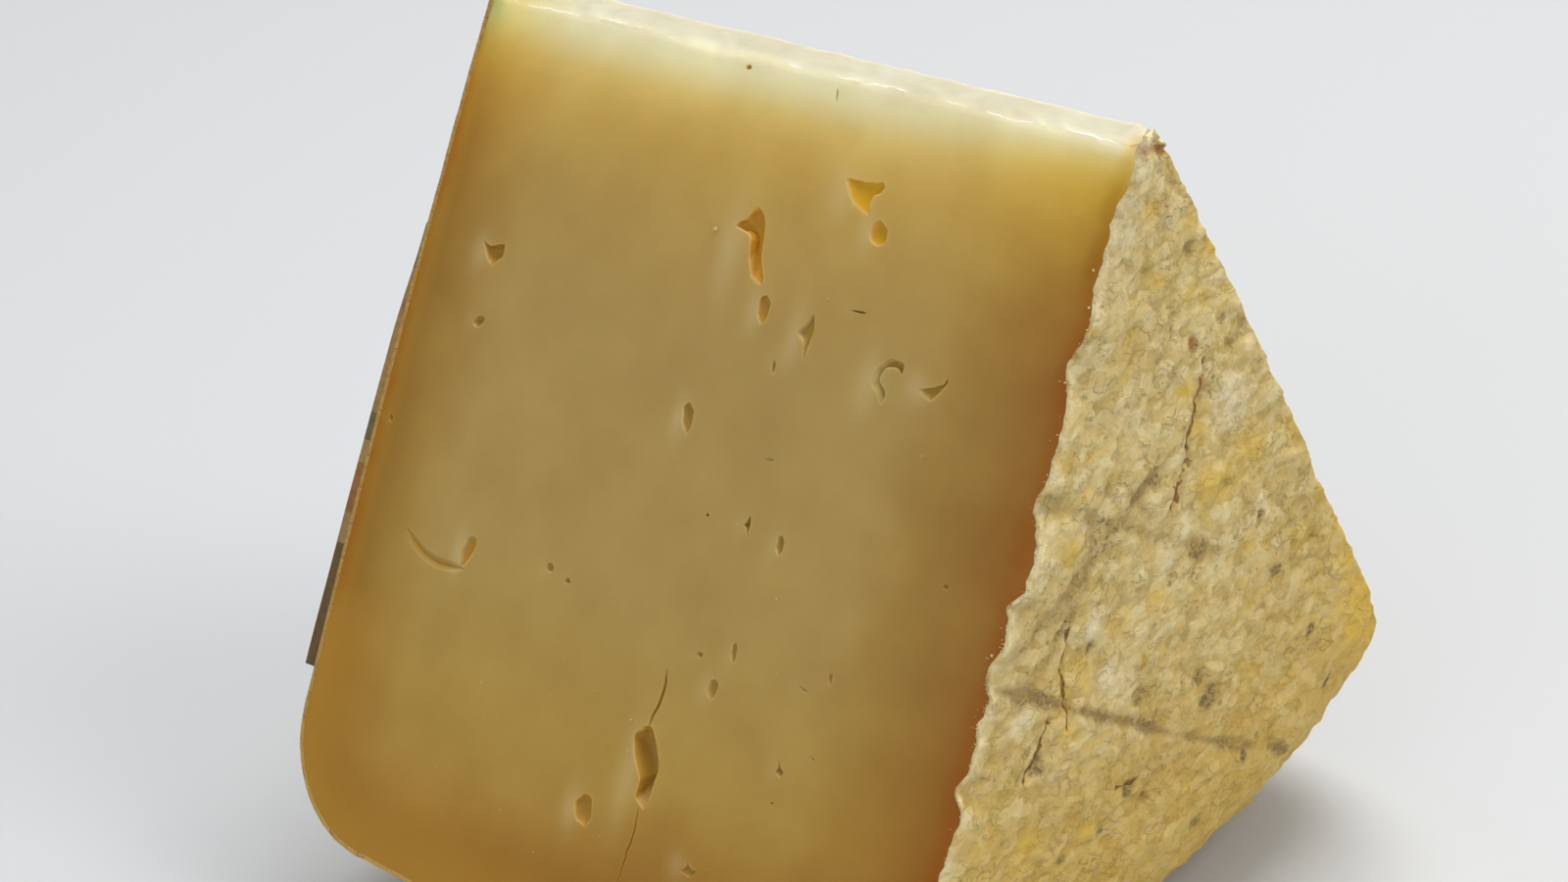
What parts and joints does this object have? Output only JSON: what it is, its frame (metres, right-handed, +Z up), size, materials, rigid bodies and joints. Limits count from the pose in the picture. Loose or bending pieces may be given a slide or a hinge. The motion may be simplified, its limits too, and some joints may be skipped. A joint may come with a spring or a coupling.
{
  "type": "pecorino cheese wedge",
  "caption": "Wedge cut from a small round sheep's milk cheese, standing on its curved outer rind, with a rough natural rind on one face and a plain card label on the other.",
  "frame": {"origin": "centre of the bounding box's bottom, on the flat rest spot of the outer rind", "axes": "+X across the wheel's thickness towards the rough face, +Y from the front cut to the back cut, +Z up from the outer rind to the thin end"},
  "size_m": [0.0914, 0.0958, 0.0983],
  "materials": {
    "cheese": "semi-hard sheep's milk cheese: smooth waxy cut faces, rough dry natural rind",
    "label_card": "matt printed card in plain brown and tan rings"
  },
  "bodies": {
    "root": {"pecorino_wedge": "cheese", "label": "label_card"}
  },
  "joints": []
}
